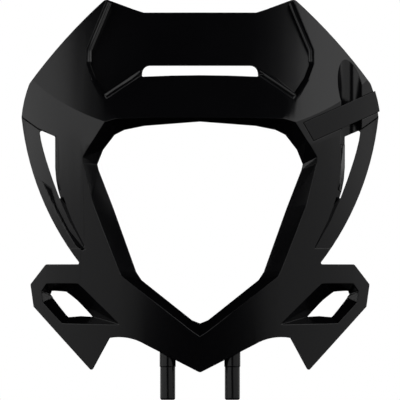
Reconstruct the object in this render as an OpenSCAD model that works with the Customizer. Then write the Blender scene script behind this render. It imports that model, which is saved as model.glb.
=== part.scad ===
// Headlight mask of an off-road motorcycle: one thin moulded shell that frames the lamp,
// and one clip that keeps the brake hose in its channel. Millimetres, front faces -Y, +Z up.
// The origin lies midway between the axes of the two lower pegs, level with the tip of the chin.

/* [Moulding] */
// Wall thickness of the skin
wall = 2.8; // [2.2:0.1:3.4]
// Depth of the return lip behind the skin
lip_d = 15; // [12:1:18]
// Facets of a full circle
smooth = 144; // [96:24:192]

/* [Wrap] */
// Distance from the plane of the pegs forward to the middle of the band
nose_d = 36; // [35:0.5:38]
// Radius of the band round the lamp, seen from above
band_r = 190; // [180:1:210]
// Radius of the arms and the chin, seen from above
arm_r = 183; // [178:1:200]
// Angle by which the arms run back towards the chin
arm_rake = 9; // [7:0.5:11]
// Radius of the ears beside the number panel
ear_r = 305; // [290:5:330]
// Angle by which the ears lean back
ear_lean = 25; // [23:0.5:27]
// Distance from the middle of the band back to the foot of the ears
ear_d = 5.3; // [5:0.1:6]

/* [Outline] */
// Half of the greatest width
half_w = 143; // [140:0.5:150]
// Height of the greatest width
wide_z = 202; // [196:1:206]
// Half width at the shoulder, where the ears start
shoulder_x = 136.6; // [133:0.2:139]
// Height of the shoulder
shoulder_z = 229; // [226:1:234]
// Half distance between the two peaks
peak_x = 75.5; // [72:0.5:80]
// Height of the peaks
peak_z = 297; // [293:0.5:303]
// Height of the top edge between the peaks
crown_z = 286; // [282:0.5:289]
// Half width of the straight top edge
crown_x = 45; // [40:1:50]
// Half width at the notch above each wing
notch_x = 95.5; // [94:0.5:99]
// Height of the upper edge of the wings
wing_z = 84.6; // [82:0.2:88]
// Half width at the outer corner of the wings
wing_x = 136; // [133:0.5:140]
// Half distance between the fin tips
fin_x = 86.5; // [84:0.5:89]
// Height of the fin tips above the origin
fin_z = -1; // [-4:0.5:3]
// Half width at the inner root of the fins
fin_root_x = 72; // [70:0.5:75]
// Height of the inner root of the fins
fin_root_z = 25.8; // [23:0.2:28]

/* [Lamp opening] */
// Width of the opening
lamp_w = 164; // [158:1:168]
// Height of the top of the opening
lamp_top_z = 198.6; // [196:0.2:201]
// Height of the bottom of the opening
lamp_low_z = 37.4; // [35:0.2:41]
// Distance from the plane of the pegs back to the rim that meets the lamp
lamp_y = 8; // [6:0.5:12]
// Half width of the front crease at its widest
crease_x = 93.6; // [92:0.2:96]

/* [Number panel] */
// Radius of the panel, seen from above
panel_r = 350; // [320:10:400]
// Angle by which the panel leans back
panel_lean = 26.5; // [25:0.5:28]
// Distance from the middle of the band back to the panel's foot
panel_d = 15; // [14:0.5:17]
// Radius of the brow below the panel
brow_r = 650; // [600:10:800]
// Angle by which the brow leans back
brow_lean = 30; // [29:0.5:31]
// Distance from the middle of the band back to the brow's foot
brow_d = 10; // [9:0.5:11]
// Width of the vent slot between panel and brow
vent_w = 91; // [80:1:92]
// Height of the vent slot
vent_h = 8.8; // [6:0.2:10]
// Height of the lower edge of the vent slot
vent_z = 234.4; // [233:0.2:236]

/* [Arms] */
// Depth by which the outer arms lie below the band
arm_drop = 3; // [2:0.2:4]
// Depth of the hollow in the outer arm on the clutch side
scoop_d = 7; // [5:0.5:8]

/* [Wing windows] */
// Depth of the funnel round each window
window_d = 20; // [18:0.5:22]

/* [Hose channel and clip] */
// Radius of the brake hose channel
hose_r = 11; // [9:0.5:12]
// Distance from the middle to the channel
hose_x = 121; // [119:0.5:123]
// Height at which the channel runs out of the ear
hose_top_z = 246; // [240:1:250]
// Height of the lower end of the channel, below the clip
hose_low_z = 180; // [176:1:184]
// Thickness of the clip
clip_t = 2.6; // [2:0.1:3.2]
// Clearance between the clip and its seat
clip_gap = 0.2; // [0.1:0.05:0.3]
// Height of the clip strap
clip_w = 16.5; // [14:0.5:18]
// Thickness of the hook that wraps round the outer edge
hook_t = 1.3; // [1:0.1:1.6]
// Depth of the hook behind the front of the clip
hook_l = 12; // [9:0.5:14]
// Angle by which the clip rises outwards
clip_slope = 24; // [22:0.5:26]

/* [Fixings] */
// Diameter of the lower pegs
peg_d = 12; // [10:0.5:13]
// Extra diameter of the peg roots, which stops the grommets
peg_step = 0.8; // [0.6:0.1:1.2]
// Distance between the pegs
peg_pitch = 51.6; // [48:0.2:56]
// Length of the pegs below the origin
peg_l = 23.6; // [18:0.2:30]
// Diameter of the bosses for the lamp screws
boss_d = 9; // [8:0.5:10]
// Diameter of the pilot holes for the lamp screws
pilot_d = 3.6; // [3:0.1:4.2]
// Depth of the pilot holes
pilot_l = 9; // [7:0.5:9]

/* [Hidden] */
far = 600;
front_y = -80;
back_y = 80;
// A curved face is [radius, lean, y and z of a point on its middle line]
band_face = [band_r, 0, -nose_d, 0];
arm_face = [arm_r, -arm_rake, -nose_d - 1.6, 183];
ear_face = [ear_r, ear_lean, ear_d - nose_d, lamp_top_z - 0.2];
brow_face = [brow_r, brow_lean, brow_d - nose_d, 200];
panel_face = [panel_r, panel_lean, panel_d - nose_d, 200];
drop_face = [arm_r, 1.8 - arm_rake, arm_drop - nose_d - 1.6, 190];
scoop_face = [arm_r, -arm_rake, scoop_d - nose_d - 1.6, 183];
chamfer = 1.6;
// The front edge of a funnel starts this far ahead of the skin
lead = 0.4;
// The peg roots start at this height and end behind the chin
peg_stop_z = 3;
peg_root_z = 44;

// Distance from the origin back to a curved face at a place on it
function face_y(f, x, z) =
    f[2] + (f[0] - sqrt(f[0] * f[0] - x * x)) / cos(f[1]) + (z - f[3]) * tan(f[1]);
function skin_y(x, z) = max([for (f = [band_face, arm_face, ear_face]) face_y(f, x, z)]);
function crease_y(x, z) = z > lamp_top_z - 4 ? max(skin_y(x, z), face_y(brow_face, x, z)) : skin_y(x, z);

// Points of a half outline, joined with their mirror image into a closed loop
function mirrored(half) = concat(half, [for (i = [len(half) - 1:-1:0])
    if (half[i][0] > 0) concat([-half[i][0]], [for (k = [1:len(half[i]) - 1]) half[i][k]])]);

// Points inside an arc from a to b that bulges by rise to the right of its direction
function bow(a, b, rise, steps = 12) =
    let (chord = norm(b - a), h = abs(rise), r = (chord * chord / 4 + h * h) / (2 * h),
         dir = (b - a) / chord, side = sign(rise) * [dir[1], -dir[0]],
         centre = (a + b) / 2 + side * (h - r), half = acos((r - h) / r))
    [for (i = [1:steps - 1]) let (t = -half + 2 * half * i / steps)
        concat(centre + side * r * cos(t) + dir * r * sin(t), [0])];

function cross2(a, b) = a[0] * b[1] - a[1] * b[0];
function xz(p) = [p[0], p[1]];
function unit(v) = v / norm(v);

// A loop that runs anticlockwise, moved outwards by d with mitred corners
function grown(loop, d) =
    let (n = len(loop))
    [for (i = [0:n - 1])
        let (p = xz(loop[i]), a = unit(p - xz(loop[(i + n - 1) % n])), b = unit(xz(loop[(i + 1) % n]) - p),
             na = [a[1], -a[0]], nb = [b[1], -b[0]], r = is_undef(loop[i][2]) ? 0 : loop[i][2],
             turn = sign(cross2(a, b)))
        concat(p + d * (na + nb) / (1 + na * nb), [r == 0 ? 0 : max(r + turn * d, 0)])];

// A loop with each corner rounded to the radius in its third value
function rounded(loop, steps = 5) =
    let (n = len(loop))
    [for (i = [0:n - 1])
        let (p = xz(loop[i]), r = is_undef(loop[i][2]) ? 0 : loop[i][2])
        each r == 0 ? [p] :
            let (a = unit(xz(loop[(i + n - 1) % n]) - p), b = unit(xz(loop[(i + 1) % n]) - p),
                 half = acos(a * b) / 2, cut = r / tan(half), centre = p + unit(a + b) * r / sin(half),
                 from = p + a * cut - centre, turn = sign(cross2(-a, b)) * (180 - 2 * half))
            [for (k = [0:steps]) let (t = turn * k / steps)
                centre + [from[0] * cos(t) - from[1] * sin(t), from[0] * sin(t) + from[1] * cos(t)]]];

// Outline of the whole mask, from the chin up to the middle of the top edge
chin_corner = [44, 20.8];
fin_root = [fin_root_x, fin_root_z];
notch = [notch_x, wing_z];
widest = [half_w, wide_z];
shoulder = [shoulder_x, shoulder_z];
peak = [peak_x, peak_z];
outline = mirrored(concat(
    [[0, -1.8, 3], concat(chin_corner, [0])],
    bow(chin_corner, fin_root, -2.6, 8),
    [concat(fin_root, [0]), [fin_x, fin_z, 1.8], [wing_x - 2.5, 50.5, 0], [wing_x, 68.4, 2],
     [wing_x - 12.4, wing_z - 0.2, 2], concat(notch, [1.2])],
    bow(notch, widest, 8.9, 14),
    [concat(widest, [6])],
    bow(widest, shoulder, 1, 4),
    [concat(shoulder, [8])],
    bow(shoulder, peak, 2.4, 8),
    [concat(peak, [4])],
    [[62, 292, 0], [53, 288.6, 0], [crown_x, crown_z, 4]]));

// Front crease and rear rim of the lamp opening, matched corner by corner
rim_half = [[0, lamp_low_z], [6.4, 40], [46.7, 72], [50.9, 78.4], [69, 129], [lamp_w / 2 - 1, 160],
    [lamp_w / 2, 164.5], [lamp_w / 2 - 4.6, 176], [68.2, 188], [60.3, 192], [44.4, 195.2], [0, lamp_top_z]];
crease_half = [[0, 27], [4, 29.6], [63.2, 76], [64.8, 79.2], [85.6, 132.8], [crease_x, 165.6],
    [crease_x, 170.4], [84.8, 184.4], [76, 198.2], [67, 200.8], [40, 201.6], [0, 201.6]];

// Side slit between inner and outer arm
slit = [[111.4, 137.4], [112.4, 137.4], [114.9, 144], [117.9, 152], [120.6, 160], [123.2, 168],
    [125.5, 176], [127.4, 184], [128.7, 192.2, 1.5], [115.8, 186.7, 1], [115.8, 162], [115, 152],
    [113.4, 144]];

// Vent slot with rounded upper corners and a lower edge that rises a little in the middle
vent = mirrored(concat([[0, vent_z + 1.2, 0], [vent_w / 4, vent_z + 0.9, 0], [vent_w / 2 + 1, vent_z, 1],
    [vent_w / 2, vent_z + vent_h, 6], [0, vent_z + vent_h, 0]]));

// Number panel: front edge of its step, and the foot of the step
panel_front = mirrored([[0, vent_z], [47.2, vent_z], [77.5, 218.5], [86.4, 232], [91.2, 244.8],
    [91.2, 256], [67, 315], [0, 315]]);
panel_foot = mirrored([[0, vent_z + 8], [45.6, vent_z + 8], [75.5, 221.5], [83.5, 233.5], [88, 245.5],
    [88, 255.5], [64, 315], [0, 315]]);
brow_edge = mirrored([[0, 193], [65, 193], [87, 232.2], [50, 236], [0, 236]]);

// Wing window: edge of the funnel in the skin, and the hole at its end
window_front = [[123, 69.2], [97, 69.2], [64, 36.5], [110.4, 37.2], [126, 54], [127.2, 63]];
window_rear = [[119, 63.2], [107.6, 62.2], [89.6, 43.6], [105.2, 42.4], [118.2, 57.5], [120, 60.5]];

// Outer arm below the band, and the hollow in it on the clutch side
arm_edge = [[160, 97], [160, 215], [138, 198.6], [129.6, 192.6], [115.4, 186.4], [115.4, 162],
    [114.6, 150], [111.5, 135], [104.5, 119], [92, 97]];
scoop_edge = [[94, 95.5], [113.7, 112], [121.3, 128], [127.3, 143.5], [131.4, 154.6], [118.4, 145],
    [114.4, 132], [104, 112], [91.5, 97]];

// Clip strap, from its end by the lamp opening to past the outer edge
clip_in = [82.4, 197.6];
clip_run = [cos(clip_slope), sin(clip_slope)];
clip_drop = clip_w * [0.5, -0.87];
clip_l = (half_w - clip_in[0]) / clip_run[0];
clip_edge = [clip_in + clip_drop, clip_in + clip_drop + clip_run * clip_l,
    clip_in + clip_run * (clip_l + 4), clip_in];

// Slab with the given outline in the front view
module slab(loop, from = front_y, to = back_y) {
    translate([0, to, 0]) rotate([90, 0, 0]) linear_extrude(to - from) polygon([for (p = loop) xz(p)]);
}

// Everything behind a curved face that is moved back by d
module behind(f, d = 0) {
    translate([0, f[2], f[3]]) rotate([-f[1], 0, 0])
        translate([0, f[0], -far]) cylinder(h = 2 * far, r = f[0] - d, $fn = 2 * smooth);
}

// Everything in front of a curved face, inside an outline in the front view
module cut_to(f, loop, d = 0) {
    difference() {
        slab(loop);
        behind(f, d);
    }
}

// Opening through loops with as many corners, from the front back, open all the way to the front
module funnel(loops) {
    rings = concat([[for (p = loops[0]) [p[0], front_y, p[2]]]], loops);
    n = len(loops[0]);
    last = len(loops) * n;
    polyhedron(
        points = [for (ring = rings) each ring],
        faces = concat(
            [for (i = [1:n - 2]) [0, i + 1, i]],
            [for (i = [1:n - 2]) [last, last + i, last + i + 1]],
            [for (k = [0:n:last - n]) for (i = [0:n - 1]) let (j = (i + 1) % n)
                each [[k + i, k + j, k + n + i], [k + j, k + n + j, k + n + i]]]),
        convexity = 4);
}

// Points of a front view loop set at a depth, and a line from b through a run on by a share
function placed(loop, depths) = [for (i = [0:len(loop) - 1]) [loop[i][0], depths[i], loop[i][1]]];
function run_on(a, b, share) = [for (i = [0:len(a) - 1]) a[i] + (a[i] - b[i]) * share];

module lamp_funnel(d, through) {
    crease = mirrored(crease_half);
    rim = mirrored(rim_half);
    front = placed(grown(crease, d), [for (p = crease) crease_y(abs(p[0]), p[1]) - lead]);
    rear = placed(grown(rim, d), [for (p = rim) lamp_y]);
    funnel(through ? [front, rear, run_on(rear, front, 0.5)] : [front, rear]);
}

module window_funnel(d) {
    front = placed(grown(window_front, d), [for (p = window_front) skin_y(p[0], p[1]) - lead]);
    rear = placed(grown(window_rear, d), [for (p = window_rear) skin_y(p[0], p[1]) + window_d]);
    funnel([front, run_on(rear, front, 0.1)]);
}

module panel_recess(d) {
    front = placed(grown(panel_front, d), [for (p = panel_front) face_y(ear_face, p[0], p[1]) - lead]);
    foot = placed(grown(panel_foot, d), [for (p = panel_foot) face_y(panel_face, p[0], p[1])]);
    difference() {
        funnel([front, run_on(foot, front, 0.8)]);
        behind(panel_face, d);
    }
}

module hose_channel(d) {
    top_y = face_y(ear_face, hose_x, hose_top_z);
    translate([hose_x, top_y - hose_r, hose_low_z - d])
        cylinder(h = hose_top_z - hose_low_z + 14, r = hose_r + d);
}

// Body of the mask with every face moved inwards by d
module body(d) {
    difference() {
        intersection() {
            slab(rounded(grown(outline, -d)));
            behind(band_face, d);
            behind(arm_face, d);
            behind(ear_face, d);
        }
        panel_recess(d);
        cut_to(brow_face, grown(brow_edge, d), d);
        for (side = [0, 1]) mirror([side, 0, 0]) {
            cut_to(drop_face, grown(arm_edge, d), d);
            window_funnel(d);
            slab(rounded(grown(slit, d)));
        }
        mirror([1, 0, 0]) cut_to(scoop_face, grown(scoop_edge, d), d);
        hose_channel(d);
        clip_seat(d);
        slab(rounded(grown(vent, d)));
    }
}

// Seat of the clip, sunk by its thickness
module clip_seat(d) {
    cut_to(band_face, grown(clip_edge, clip_gap + d), clip_t + clip_gap + d);
}

module lip_space() {
    intersection() {
        slab(rounded(grown(outline, 1)));
        behind(band_face, lip_d);
        behind(arm_face, lip_d);
        behind(ear_face, lip_d);
    }
}

upper_bosses = [for (side = [-1, 1]) [side * 103, 178]];
lower_bosses = [for (side = [-1, 1]) [side * 66, 64]];

module lamp_bosses(d, depth) {
    for (p = concat(upper_bosses, lower_bosses))
        translate([p[0], lamp_y, p[1]]) rotate([90, 0, 0]) cylinder(h = depth, d = d);
}

module pegs(from, to, d) {
    for (side = [-1, 1]) translate([side * peg_pitch / 2, 0, from]) cylinder(h = to - from, d = d);
}

module mask_shell() color("#141416") {
    difference() {
        body(0);
        difference() {
            union() {
                body(wall);
                lip_space();
            }
            lamp_funnel(wall, false);
            lamp_bosses(boss_d, lamp_y + nose_d);
            pegs(peg_stop_z, peg_root_z, peg_d + peg_step);
        }
        lamp_funnel(0, true);
        lamp_bosses(pilot_d, pilot_l);
    }
    difference() {
        union() {
            pegs(-peg_l, peg_root_z / 2, peg_d);
            pegs(peg_stop_z, peg_root_z / 2, peg_d + peg_step);
        }
        for (side = [-1, 1]) translate([side * peg_pitch / 2, 0, -peg_l]) rotate_extrude()
            polygon([[peg_d / 2 - chamfer, -1], [peg_d / 2 + 1, -1], [peg_d / 2 + 1, chamfer + 1]]);
    }
}

module hose_clip() color("#1b1b1d") {
    // Strap that lies in the seat and bridges the channel
    intersection() {
        difference() {
            cut_to(band_face, clip_edge, clip_t);
            cut_to(band_face, grown(clip_edge, 1), 0);
        }
        slab(rounded(grown(outline, clip_gap + hook_t)));
    }
    // Hook that wraps round the outer edge of the mask
    intersection() {
        difference() {
            slab(rounded(grown(outline, clip_gap + hook_t)));
            slab(rounded(grown(outline, clip_gap)));
        }
        slab(clip_edge);
        behind(band_face);
        cut_to(band_face, clip_edge, hook_l);
    }
}

mask_shell();
hose_clip();
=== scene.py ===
import math

import bmesh
import bpy
from mathutils import Matrix, Vector


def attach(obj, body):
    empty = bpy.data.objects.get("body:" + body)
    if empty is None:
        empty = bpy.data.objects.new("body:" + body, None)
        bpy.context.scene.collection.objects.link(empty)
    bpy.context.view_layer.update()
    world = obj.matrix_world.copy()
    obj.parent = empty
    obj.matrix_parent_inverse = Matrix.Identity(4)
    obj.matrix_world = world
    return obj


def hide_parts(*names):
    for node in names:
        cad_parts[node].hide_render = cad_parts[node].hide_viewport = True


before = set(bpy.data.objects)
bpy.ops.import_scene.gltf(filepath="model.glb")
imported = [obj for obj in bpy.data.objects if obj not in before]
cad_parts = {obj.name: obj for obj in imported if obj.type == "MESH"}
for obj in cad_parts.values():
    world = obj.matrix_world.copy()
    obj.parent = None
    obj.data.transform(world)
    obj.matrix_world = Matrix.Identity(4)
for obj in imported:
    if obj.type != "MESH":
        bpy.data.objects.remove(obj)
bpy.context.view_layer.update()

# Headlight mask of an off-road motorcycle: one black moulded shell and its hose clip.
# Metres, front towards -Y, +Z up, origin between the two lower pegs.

mm = 0.001
joinDistance = 0.002 * mm     # corners of the CAD facets that belong together are closer than this


# sRGB hex to the linear values that the shaders take
def linear(hexColour):
    channels = [int(hexColour[i:i + 2], 16) / 255 for i in (1, 3, 5)]
    return [c / 12.92 if c <= 0.04045 else ((c + 0.055) / 1.055) ** 2.4 for c in channels] + [1.0]


# Adds one node: settings go to its properties or sockets, links join its sockets to outputs
def addNode(tree, kind, settings=None, links=None):
    node = tree.nodes.new(kind)
    for name, value in (settings or {}).items():
        if isinstance(name, str) and hasattr(node, name):
            setattr(node, name, value)
        else:
            node.inputs[name].default_value = value
    for name, output in (links or {}).items():
        tree.links.new(output, node.inputs[name])
    return node


def newMaterial(name):
    material = bpy.data.materials.new(name)
    material.use_nodes = True
    material.node_tree.nodes.clear()
    return material, material.node_tree


def newPiece(name, bm):
    mesh = bpy.data.meshes.new(name)
    bm.to_mesh(mesh)
    bm.free()
    piece = bpy.data.objects.new(name, mesh)
    bpy.context.scene.collection.objects.link(piece)
    return piece


# Camera: straight at the front, far away, so that the outline keeps its real proportions
cameraSetup = {
    "distance": 10.0,
    "height": 0.136,
    "frameWidth": 0.320,       # what the frame shows across, at the depth of the outline
    "outlineDepth": 0.020,
    "sensorWidth": 36.0,       # mm
    "clipEnd": 60.0,
}


def makeCamera(setup):
    data = bpy.data.cameras.new("camera")
    data.sensor_width = setup["sensorWidth"]
    data.lens = setup["sensorWidth"] * (setup["distance"] + setup["outlineDepth"]) / setup["frameWidth"]
    data.clip_end = setup["clipEnd"]
    camera = bpy.data.objects.new("camera", data)
    camera.location = (0.0, -setup["distance"], setup["height"])
    camera.rotation_euler = (math.radians(90), 0.0, 0.0)
    bpy.context.scene.collection.objects.link(camera)
    bpy.context.scene.camera = camera


# A wall of softboxes on each side of the mask, in tiers of low edge, high edge and radiance.
# Their front edges give the dark middle of the chin, and the right wall is taller, so the ear
# that leans towards it catches more. Two more boxes stand behind, for the back of the mask.
softBoxes = {
    "wallX": 1.0,
    "front": -3.9,
    "rear": 0.25,
    "leftTiers": [(-0.50, 0.0, 0.9), (0.0, 0.5, 2.2), (0.5, 1.30, 2.3)],
    "rightTiers": [(-0.50, 0.0, 0.82), (0.0, 0.5, 1.35), (0.5, 1.95, 3.1)],
    "backX": 2.1,
    "backY": 1.6,
    "backZ": 0.25,
    "backWidth": 1.0,
    "backHeight": 0.9,
    "backRadiance": 1.7,
}


def addSoftBox(place, facing, width, height, radiance):
    data = bpy.data.lights.new("softBox", "AREA")
    data.shape = "RECTANGLE"
    data.size, data.size_y = width, height
    data.energy = radiance * math.pi * width * height
    light = bpy.data.objects.new("softBox", data)
    light.location = place
    light.rotation_mode = "QUATERNION"
    light.rotation_quaternion = Vector(facing).to_track_quat("-Z", "Y")
    bpy.context.scene.collection.objects.link(light)


def makeSoftBoxes(boxes):
    depth = boxes["rear"] - boxes["front"]
    middle = (boxes["rear"] + boxes["front"]) / 2
    for side, tiers in ((-1, boxes["leftTiers"]), (1, boxes["rightTiers"])):
        for low, high, radiance in tiers:
            addSoftBox((side * boxes["wallX"], middle, (low + high) / 2), (-side, 0, 0),
                       depth, high - low, radiance)
    for side in (-1, 1):
        addSoftBox((side * boxes["backX"], boxes["backY"], boxes["backZ"]),
                   (-side * boxes["backX"], -boxes["backY"], 0),
                   boxes["backWidth"], boxes["backHeight"], boxes["backRadiance"])


# The studio: white where the camera looks, dark walls round the lamps, a pale floor
studio = {
    "floorZ": -0.22,
    "floorR": 0.85,
    "floorSides": 96,
    "floorColour": "#e9e9e7",
    "floorGlow": 0.72,
    "wallR": 4.5,
    "wallSides": 48,
    "wallRings": 24,
    "wallColour": "#1c1c1c",
    "backgroundColour": "#ffffff",
}


# 1 for rays of the camera, mirrors and glass, and 0 for the light that falls on things
def seenRays(tree):
    path = addNode(tree, "ShaderNodeLightPath")
    first = addNode(tree, "ShaderNodeMath", {"operation": "MAXIMUM"},
                    {0: path.outputs["Is Camera Ray"], 1: path.outputs["Is Glossy Ray"]})
    both = addNode(tree, "ShaderNodeMath", {"operation": "MAXIMUM"},
                   {0: first.outputs[0], 1: path.outputs["Is Transmission Ray"]})
    return both.outputs[0]


def makeWorld(setup):
    world = bpy.data.worlds.new("whiteStudio")
    world.use_nodes = True
    tree = world.node_tree
    tree.nodes.clear()
    white = addNode(tree, "ShaderNodeBackground", {"Color": linear(setup["backgroundColour"])},
                    {"Strength": seenRays(tree)})
    addNode(tree, "ShaderNodeOutputWorld", None, {"Surface": white.outputs[0]})
    bpy.context.scene.world = world


# Matt vinyl sheet: it keeps the soft shadow, and shows white to the camera
def makeFloor(setup):
    bm = bmesh.new()
    bmesh.ops.create_circle(bm, cap_ends=True, segments=setup["floorSides"], radius=setup["floorR"],
                            matrix=Matrix.Translation((0.0, 0.0, setup["floorZ"])))
    floor = newPiece("studioFloor", bm)
    floor.visible_glossy = False     # a pale floor would put grey into the black faces
    material, tree = newMaterial("mattVinyl")
    matt = addNode(tree, "ShaderNodeBsdfDiffuse", {"Color": linear(setup["floorColour"])})
    level = addNode(tree, "ShaderNodeMath", {"operation": "MULTIPLY", 1: setup["floorGlow"]},
                    {0: seenRays(tree)})
    glow = addNode(tree, "ShaderNodeEmission", {"Color": linear(setup["backgroundColour"])},
                   {"Strength": level.outputs[0]})
    both = addNode(tree, "ShaderNodeAddShader", None, {0: matt.outputs[0], 1: glow.outputs[0]})
    addNode(tree, "ShaderNodeOutputMaterial", None, {"Surface": both.outputs[0]})
    floor.data.materials.append(material)


# Dark molton cloth all round, which the mask mirrors between the lamps
def makeWalls(setup):
    bm = bmesh.new()
    bmesh.ops.create_uvsphere(bm, u_segments=setup["wallSides"], v_segments=setup["wallRings"],
                              radius=setup["wallR"])
    walls = newPiece("studioWalls", bm)
    walls.visible_camera = False
    walls.visible_shadow = False
    material, tree = newMaterial("moltonCloth")
    matt = addNode(tree, "ShaderNodeBsdfDiffuse", {"Color": linear(setup["wallColour"])})
    addNode(tree, "ShaderNodeOutputMaterial", None, {"Surface": matt.outputs[0]})
    walls.data.materials.append(material)


# Black polypropylene, injection moulded: satin, nearly black, with the fine spark grain
# of the mould, which only shows as a soft break-up of the reflections
shellPlastic = {
    "colour": "#030304",
    "palerColour": "#050506",
    "roughness": 0.21,
    "roughnessSpread": 0.03,
    "specular": 0.2,
    "ior": 1.49,
    "grainSize": 0.55,       # mm between grain peaks, coarser than the real 0.1 so that it shows
    "grainHeight": 0.012,    # mm
    "edgeWear": 0.9,         # mm, the soft gloss along the moulded edges
    "flowSize": 60.0,        # mm, slow change of gloss along the moulding
}

# The clip is the same plastic from another mould: a shade paler, duller and with less grain
clipPlastic = dict(shellPlastic, colour="#040405", palerColour="#060607", roughness=0.24,
                   specular=0.14, grainHeight=0.008)


def makePlastic(name, look):
    material, tree = newMaterial(name)
    place = addNode(tree, "ShaderNodeTexCoord").outputs["Object"]
    grain = addNode(tree, "ShaderNodeTexNoise",
                    {"Scale": 1 / (look["grainSize"] * mm), "Detail": 2.0, "Roughness": 0.6},
                    {"Vector": place})
    flow = addNode(tree, "ShaderNodeTexNoise",
                   {"Scale": 1 / (look["flowSize"] * mm), "Detail": 3.0, "Roughness": 0.5},
                   {"Vector": place})
    # Sockets 6 and 7 of a colour Mix are its two colours, and socket 0 is its share
    tint = addNode(tree, "ShaderNodeMix",
                   {"data_type": "RGBA", 6: linear(look["colour"]), 7: linear(look["palerColour"])},
                   {0: flow.outputs["Fac"]})
    gloss = addNode(tree, "ShaderNodeMapRange",
                    {"To Min": look["roughness"] - look["roughnessSpread"],
                     "To Max": look["roughness"] + look["roughnessSpread"]},
                    {"Value": flow.outputs["Fac"]})
    edges = addNode(tree, "ShaderNodeBevel", {"samples": 8, "Radius": look["edgeWear"] * mm})
    bump = addNode(tree, "ShaderNodeBump",
                   {"Strength": 1.0, "Distance": look["grainHeight"] * mm},
                   {"Height": grain.outputs["Fac"], "Normal": edges.outputs[0]})
    shader = addNode(tree, "ShaderNodeBsdfPrincipled",
                     {"Specular IOR Level": look["specular"], "IOR": look["ior"]},
                     {"Base Color": tint.outputs[2], "Roughness": gloss.outputs[0],
                      "Normal": bump.outputs[0]})
    addNode(tree, "ShaderNodeOutputMaterial", None, {"Surface": shader.outputs[0]})
    return material


# Finer forms of the moulding, in mm. A curved face is its radius, its lean in degrees, and the
# depth and height of a point on its middle line; places are distance from the middle and height
shellForms = {
    "band": (190.0, 0.0, -36.0, 0.0),
    "arm": (183.0, -9.0, -37.6, 183.0),
    "ear": (305.0, 25.0, -30.7, 198.4),
    "brow": (650.0, 30.0, -26.0, 200.0),
    "panel": (350.0, 26.5, -21.0, 200.0),
    "armDrop": (183.0, -7.2, -34.6, 190.0),
    # Foot of the step between inner and outer arm, and the crest that it slants up to
    "armFoot": [(160, 215), (138, 198.6), (129.6, 192.6), (115.4, 186.4), (115.4, 162),
                (114.6, 150), (111.5, 135), (104.5, 119), (92, 97), (160, 97)],
    "armCrestRight": [(160, 215), (138, 199.4), (129.6, 193.4), (112.7, 187.2), (112.5, 162),
                      (111.2, 150), (108.2, 136), (102.2, 120), (91, 97.5), (160, 97)],
    "armCrestLeft": [(160, 215), (138, 199.4), (129.6, 193.4), (114.6, 186.8), (114.6, 162),
                     (113.4, 150), (108.2, 136), (102.2, 120), (91, 97.5), (160, 97)],
    "crestReach": 0.15,           # how near the skin a corner of the step has to be
    # Hollow in the left outer arm: where it lies, its moulded floor, and the flat one it gets
    "hollowX": (-135, -85),
    "hollowZ": (90, 160),
    "hollowCut": (183.0, -9.0, -30.6, 183.0),
    "hollowReach": 0.08,
    "hollowFloor": (1500.0, 14.0, 16.9, 154.6),
    "hollowCuts": 7,
    "hollowMargin": 0.05,         # the flat floor stays this far in front of the wall behind it
    # Double bead along the slanting border between panel and brow: its ends, and its section as
    # distance below the border and height above the brow, where a height below 0 is the root
    "browBead": [(48.7, 240.0), (77.0, 220.8)],
    "browSection": [(4.8, -1), (4.8, 0), (3.8, 0.6), (3.1, 0.1), (0.6, 1.5), (0, 0), (0, -1)],
    "browRoots": [4.8, 1.4],      # how deep each end is rooted in the wall
    # Stepped border of the panel: its line, and its section as distance inwards and height
    "borderLine": [(75.2, 295.0), (91.2, 256.0), (91.2, 246.4)],
    "borderSection": [(4.4, -1), (4.2, 0.3), (4.0, 0.9), (2.8, 2.1), (2.6, 3.4), (1.4, 4.6),
                      (1.2, -1)],
    "borderRoots": [1.2, 1.2, 1.2],
    "creaseAngle": 13.0,          # degrees from which two faces meet in a crease
}

# The clip's edges past the angle, in degrees, get a small radius, in mm. The shell's facets are
# too fine for the Bevel modifier, and the Bevel node of its plastic softens its edges alone.
clipRounding = {
    "radius": 0.35,
    "fromAngle": 24.0,
}


def faceY(face, x, z):
    radius, lean, y, height = face
    lean = math.radians(lean)
    sag = radius - math.sqrt(radius * radius - x * x)
    return y + sag / math.cos(lean) + (z - height) * math.tan(lean)


def skinY(forms, x, z):
    return max(faceY(forms[name], x, z) for name in ("band", "arm", "ear"))


# Where a place lies on a line of points: the piece of the line and the share along it
def alongLine(line, x, z):
    for i, (start, end) in enumerate(zip(line, line[1:])):
        run = Vector(end) - Vector(start)
        share = (Vector((x, z)) - Vector(start)).dot(run) / run.length_squared
        if -0.001 <= share <= 1.001 and (Vector(start) + share * run - Vector((x, z))).length < 0.05:
            return i, share
    return None


# Moves the front edge of a step from one line to others, and keeps it in the skin
def moveCrest(bm, forms, line, rightLine, leftLine):
    for vert in bm.verts:
        side, newLine = (1, rightLine) if vert.co.x > 0 else (-1, leftLine)
        x, y, z = side * vert.co.x / mm, vert.co.y / mm, vert.co.z / mm
        place = alongLine(line, x, z)
        if place and abs(y - skinY(forms, x, z)) < forms["crestReach"]:
            i, share = place
            x, z = Vector(newLine[i]).lerp(Vector(newLine[i + 1]), share)
            vert.co = Vector((side * x, skinY(forms, x, z), z)) * mm


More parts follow.
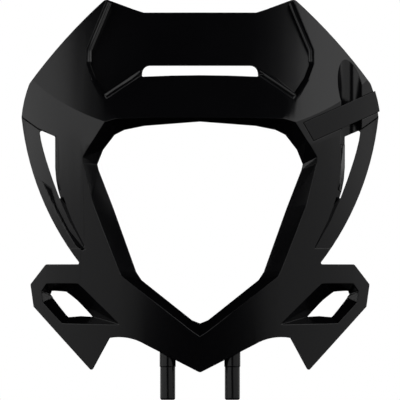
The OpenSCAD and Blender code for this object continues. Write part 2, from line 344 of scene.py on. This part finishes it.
def flattenHollow(bm, forms):
    (left, right), (low, high) = forms["hollowX"], forms["hollowZ"]

    def onFloor(vert):
        x, y, z = vert.co / mm
        return (left < x < right and low < z < high
                and abs(y - faceY(forms["hollowCut"], x, z)) < forms["hollowReach"])

    floor = {face for face in bm.faces if all(onFloor(vert) for vert in face.verts)}
    edges = [edge for edge in bm.edges if any(face in floor for face in edge.link_faces)]
    made = bmesh.ops.subdivide_edges(bm, edges=edges, cuts=forms["hollowCuts"], use_grid_fill=True)
    inner = {item for item in made["geom_inner"]
             if item.is_valid and isinstance(item, bmesh.types.BMVert)}
    for vert in [vert for vert in bm.verts if vert in inner or onFloor(vert)]:
        x, y, z = vert.co / mm
        behind = faceY(forms["armDrop"], x, z) + forms["hollowMargin"]
        vert.co.y = max(faceY(forms["hollowFloor"], x, z), behind) * mm


# Bar with the given section that lies along a line on a curved face, on both sides of the mask
def addBar(bm, face, line, section, roots):
    for side in (-1, 1):
        before = set(bm.faces)
        rings = []
        for i, point in enumerate(line):
            ahead = Vector(line[min(i + 1, len(line) - 1)]) - Vector(point)
            behind = Vector(point) - Vector(line[max(i - 1, 0)])
            along = (ahead.normalized() + behind.normalized()).normalized()
            across = Vector((along.y, -along.x))
            verts = []
            for distance, height in section:
                x, z = Vector(point) + across * distance
                height = height if height >= 0 else -roots[i]
                verts.append(bm.verts.new(Vector((side * x, faceY(face, x, z) - height, z)) * mm))
            rings.append([bm.edges.new((verts[k - 1], verts[k])) for k in range(len(verts))])
        for first, second in zip(rings, rings[1:]):
            bmesh.ops.bridge_loops(bm, edges=first + second)
        bmesh.ops.holes_fill(bm, edges=rings[0] + rings[-1], sides=len(section))
        bmesh.ops.recalc_face_normals(bm, faces=[face for face in bm.faces if face not in before])


# The shell as it is looked at: the CAD moulding with its finer forms
def makeMoulding(forms):
    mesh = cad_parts["mask_shell"].data.copy()
    mesh.name = "mouldedShell"
    moulding = bpy.data.objects.new("moulded_shell", mesh)
    bpy.context.scene.collection.objects.link(moulding)
    bm = bmesh.new()
    bm.from_mesh(mesh)
    bmesh.ops.remove_doubles(bm, verts=bm.verts, dist=joinDistance)
    moveCrest(bm, forms, forms["armFoot"], forms["armCrestRight"], forms["armCrestLeft"])
    flattenHollow(bm, forms)
    addBar(bm, forms["brow"], forms["browBead"], forms["browSection"], forms["browRoots"])
    addBar(bm, forms["panel"], forms["borderLine"], forms["borderSection"], forms["borderRoots"])
    bm.to_mesh(mesh)
    bm.free()
    # The imported normals belong to the loose facets and would streak the moved faces
    if "custom_normal" in mesh.attributes:
        mesh.attributes.remove(mesh.attributes["custom_normal"])
    mesh.set_sharp_from_angle(angle=math.radians(forms["creaseAngle"]))
    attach(moulding, "root")
    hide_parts("mask_shell")
    return moulding


def dressPiece(piece, material, rounding=None):
    piece.data.materials.clear()
    piece.data.materials.append(material)
    weld = piece.modifiers.new("joinFacets", "WELD")
    weld.merge_threshold = joinDistance
    if rounding:
        bevel = piece.modifiers.new("mouldedEdges", "BEVEL")
        bevel.width = rounding["radius"] * mm
        bevel.segments = 2
        bevel.limit_method = "ANGLE"
        bevel.angle_limit = math.radians(rounding["fromAngle"])
        bevel.harden_normals = True
    normals = piece.modifiers.new("evenNormals", "WEIGHTED_NORMAL")
    normals.keep_sharp = True
    for face in piece.data.polygons:
        face.use_smooth = True


makeCamera(cameraSetup)
makeSoftBoxes(softBoxes)
print("camera and lamps ready")

makeWorld(studio)
makeFloor(studio)
makeWalls(studio)
bpy.context.scene.view_settings.view_transform = "Standard"
print("studio ready")

dressPiece(makeMoulding(shellForms), makePlastic("blackPolypropylene", shellPlastic))
print("shell ready")

dressPiece(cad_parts["hose_clip"], makePlastic("blackPolypropyleneClip", clipPlastic), clipRounding)
print("clip ready")
